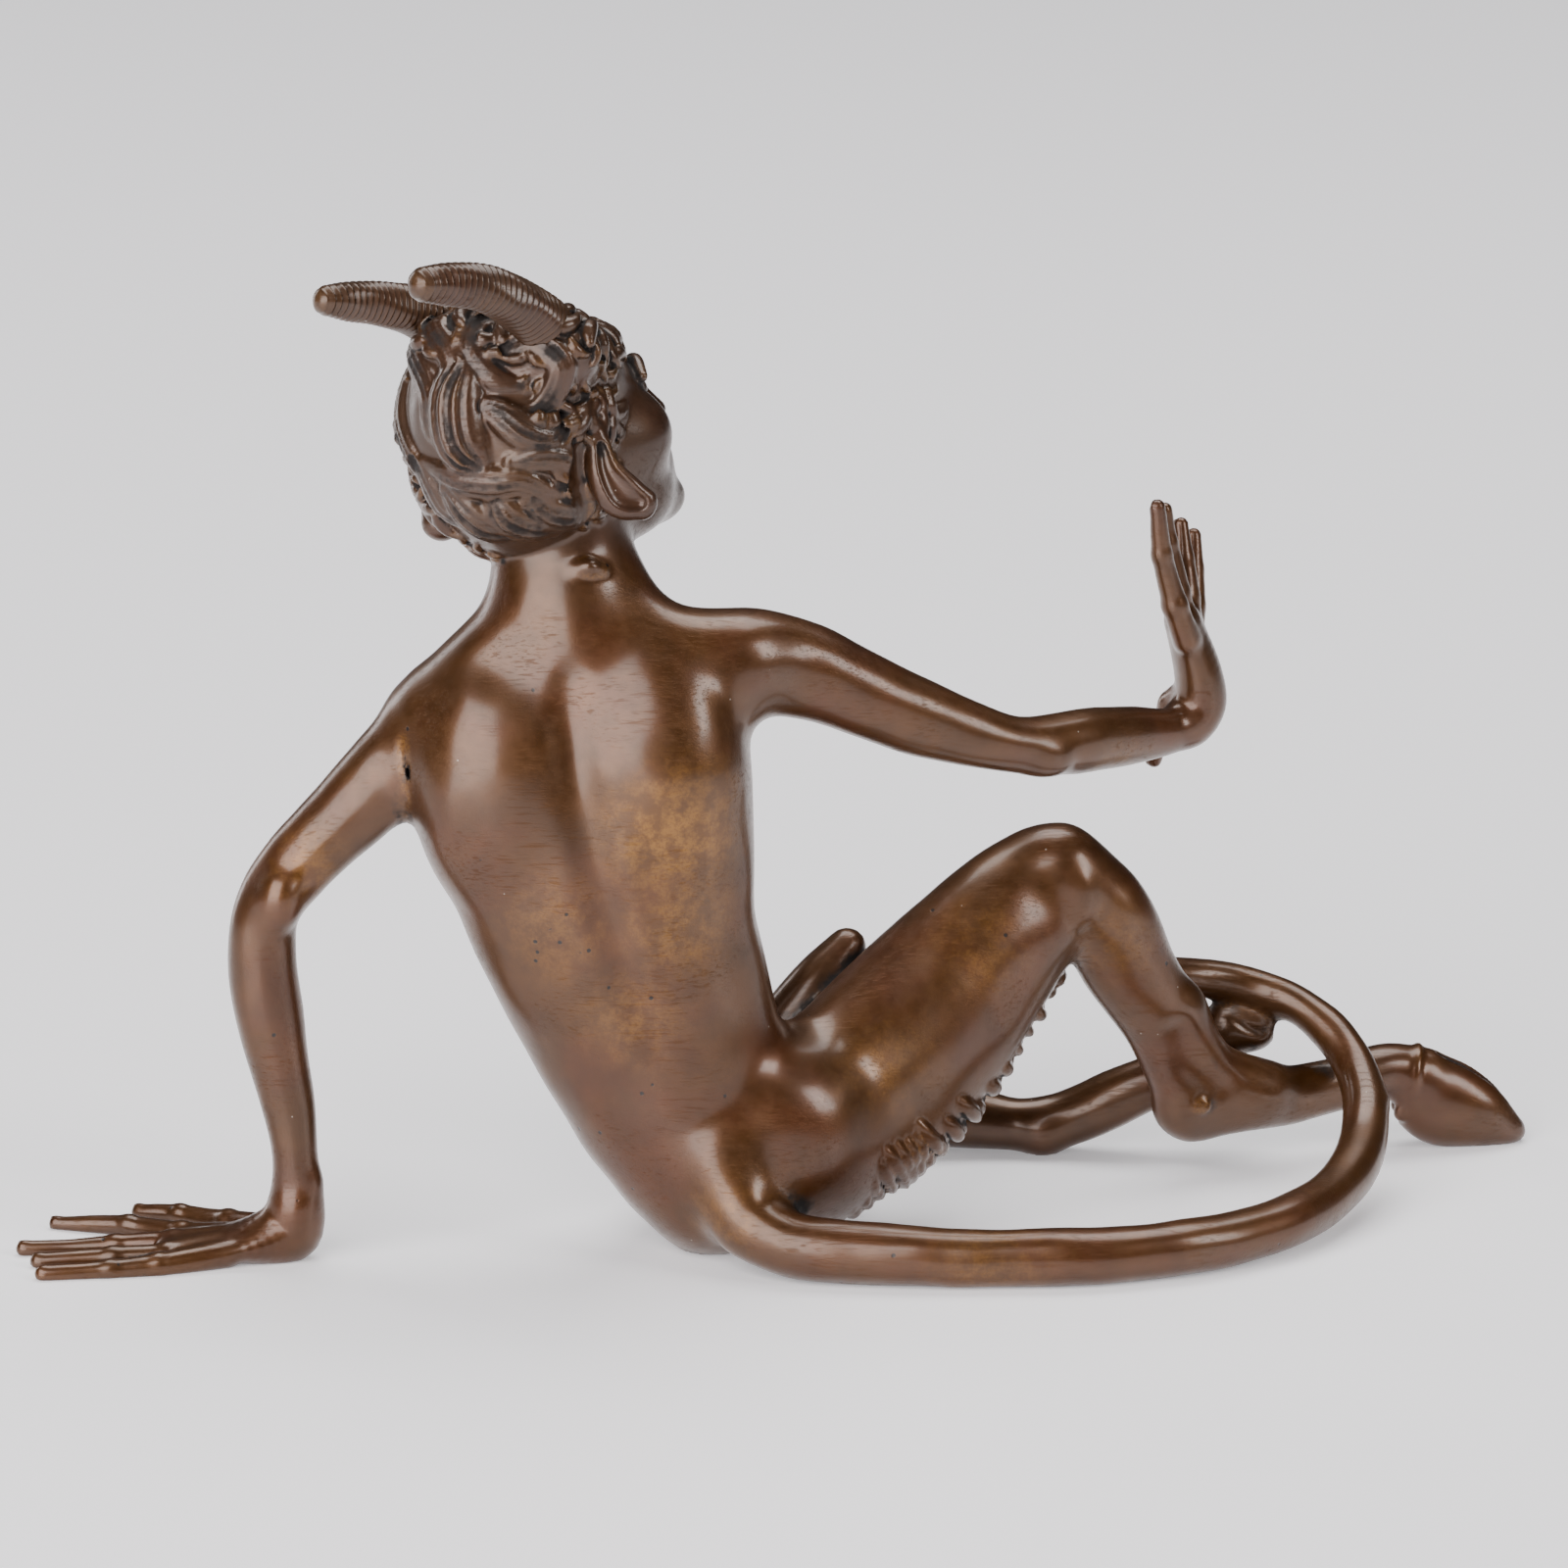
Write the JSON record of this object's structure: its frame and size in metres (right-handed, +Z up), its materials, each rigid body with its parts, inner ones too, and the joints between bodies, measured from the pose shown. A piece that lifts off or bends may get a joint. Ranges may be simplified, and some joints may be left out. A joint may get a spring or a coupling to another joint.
{
  "type": "faun statue",
  "caption": "Cast bronze statue of a seated faun with goat legs, curled hair, swept-back horns and a long curling tail, leaning on one hand with the other held out",
  "frame": {"origin": "middle of the figure's bounding box, on the ground it sits on", "axes": "+Z up; +Y the way the chest faces, away from a viewer who sees the back; +X towards the figure's right hand and outstretched right foot"},
  "size_m": [0.1562, 0.0574, 0.105],
  "materials": {
    "bronze": "brown lacquered patina, polished smooth on the skin and dull in the hair, fur and hooves"
  },
  "bodies": {
    "root": {"faun": "bronze"}
  },
  "joints": []
}
